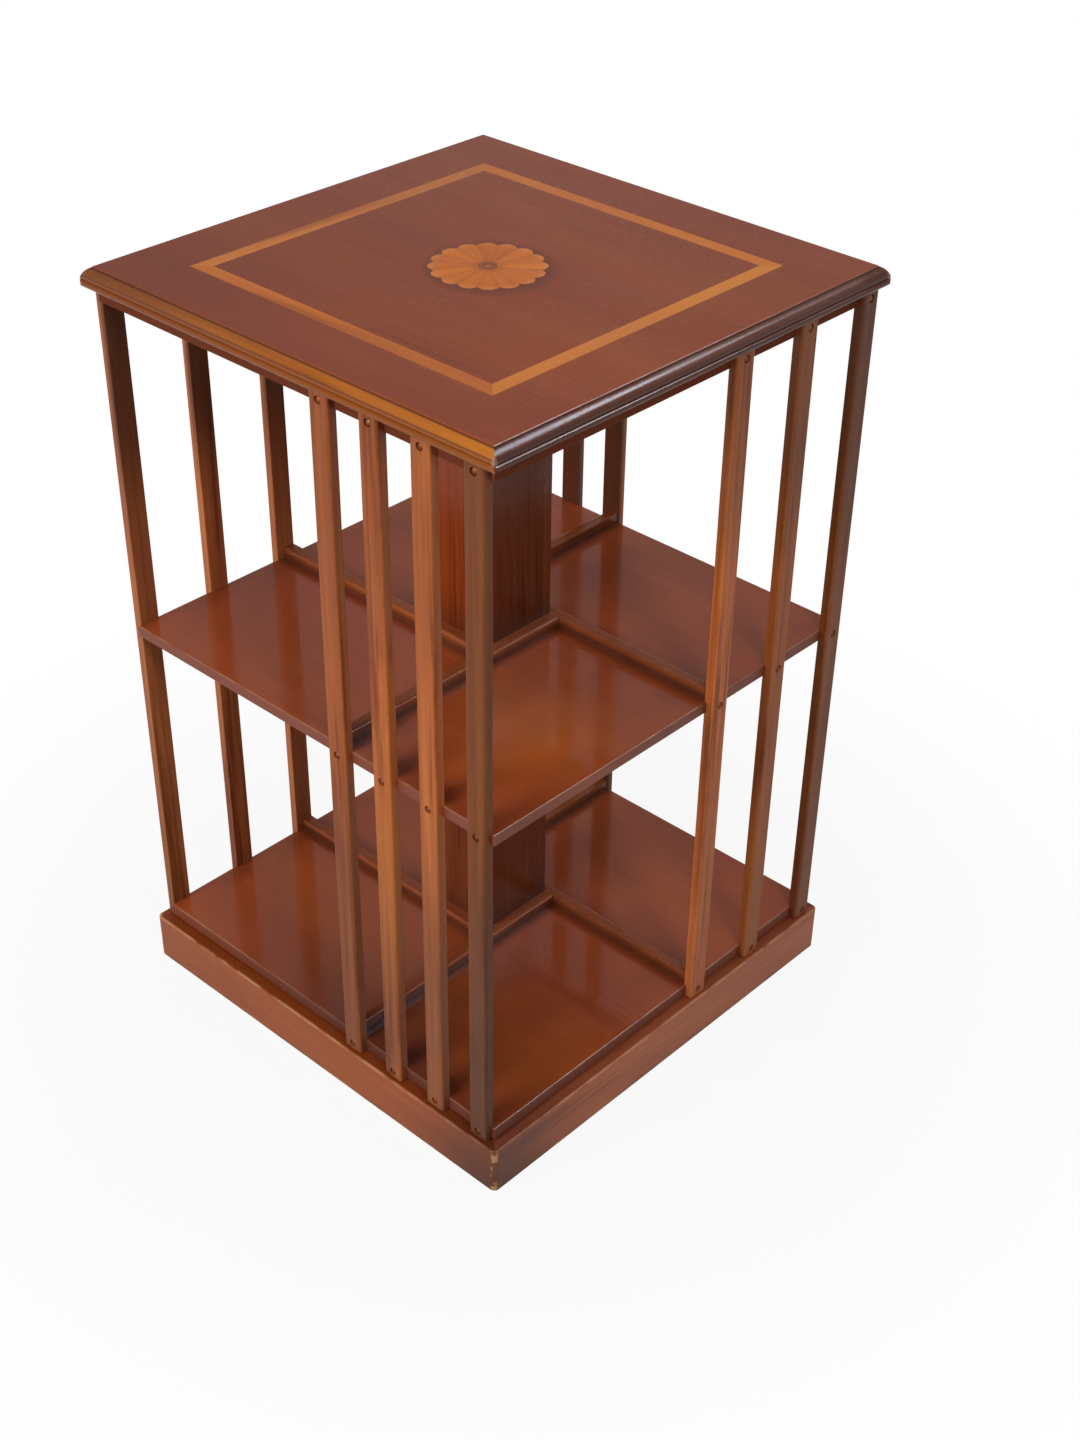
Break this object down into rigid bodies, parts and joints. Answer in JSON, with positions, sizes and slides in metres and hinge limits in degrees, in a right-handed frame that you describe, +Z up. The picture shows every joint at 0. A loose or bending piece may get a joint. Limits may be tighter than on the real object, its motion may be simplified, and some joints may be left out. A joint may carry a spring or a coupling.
{
  "type": "revolving bookcase",
  "caption": "Square mahogany revolving bookcase: open storeys round a hollow column, slatted half sides, an inlaid moulded top, and a plinth with a centre spindle.",
  "frame": {"origin": "middle of the plinth's underside, on the turning axis, at floor level", "axes": "+Z up along the spindle; -Y is the front face and +X the right face, which meet at the corner nearest the camera; the carcass is at rest square on the plinth"},
  "size_m": [0.5006, 0.5006, 0.775],
  "materials": {
    "mahogany": "glossy clear lacquer",
    "slat_mahogany": "glossy clear lacquer",
    "moulding_mahogany": "glossy clear lacquer",
    "satinwood_band": "glossy clear lacquer",
    "satinwood_fan": "glossy clear lacquer",
    "dark_dot": "glossy clear lacquer",
    "pale_softwood": "bare",
    "steel": "turned bright",
    "cast_flange": "as cast, black",
    "brass": "turned",
    "aged_brass": "darkened"
  },
  "bodies": {
    "base": {"plinth_front": "mahogany", "plinth_right": "mahogany", "plinth_back": "mahogany", "plinth_left": "mahogany", "plinth_battens": "pale_softwood", "base_board": "pale_softwood", "base_board_screws": "aged_brass", "spindle_flange": "cast_flange", "flange_screws": "aged_brass", "spindle": "steel", "spindle_nut": "steel"},
    "carcass": {"bottom_shelf": "mahogany", "collar": "brass", "collar_screws": "aged_brass", "lower_rail_front": "mahogany", "lower_rail_right": "mahogany", "lower_rail_back": "mahogany", "lower_rail_left": "mahogany", "lower_column_front": "mahogany", "lower_column_right": "mahogany", "lower_column_back": "mahogany", "lower_column_left": "mahogany", "middle_shelf": "mahogany", "pivot_block": "pale_softwood", "pivot_cup": "brass", "pivot_screws": "aged_brass", "middle_rail_front": "mahogany", "middle_rail_right": "mahogany", "middle_rail_back": "mahogany", "middle_rail_left": "mahogany", "upper_column_front": "mahogany", "upper_column_right": "mahogany", "upper_column_back": "mahogany", "upper_column_left": "mahogany", "under_top": "mahogany", "slat_back_1": "slat_mahogany", "slat_back_2": "slat_mahogany", "slat_back_3": "slat_mahogany", "slat_back_4": "slat_mahogany", "slat_front_1": "slat_mahogany", "slat_front_2": "slat_mahogany", "slat_front_3": "slat_mahogany", "slat_front_4": "slat_mahogany", "slat_left_1": "slat_mahogany", "slat_left_2": "slat_mahogany", "slat_left_3": "slat_mahogany", "slat_right_1": "slat_mahogany", "slat_right_2": "slat_mahogany", "slat_right_3": "slat_mahogany", "slat_pins": "aged_brass", "top_panel": "mahogany", "top_screws": "aged_brass", "top_moulding_front": "moulding_mahogany", "top_moulding_right": "moulding_mahogany", "top_moulding_back": "moulding_mahogany", "top_moulding_left": "moulding_mahogany", "inlay_band": "satinwood_band", "rosette_petals": "satinwood_fan", "rosette_centre": "dark_dot"}
  },
  "joints": [
    {"name": "carcass_turn", "type": "hinge", "parent": "base", "child": "carcass", "pos_m": [0, 0, 0.052], "axis": [0, 0, 1], "continuous": true}
  ]
}
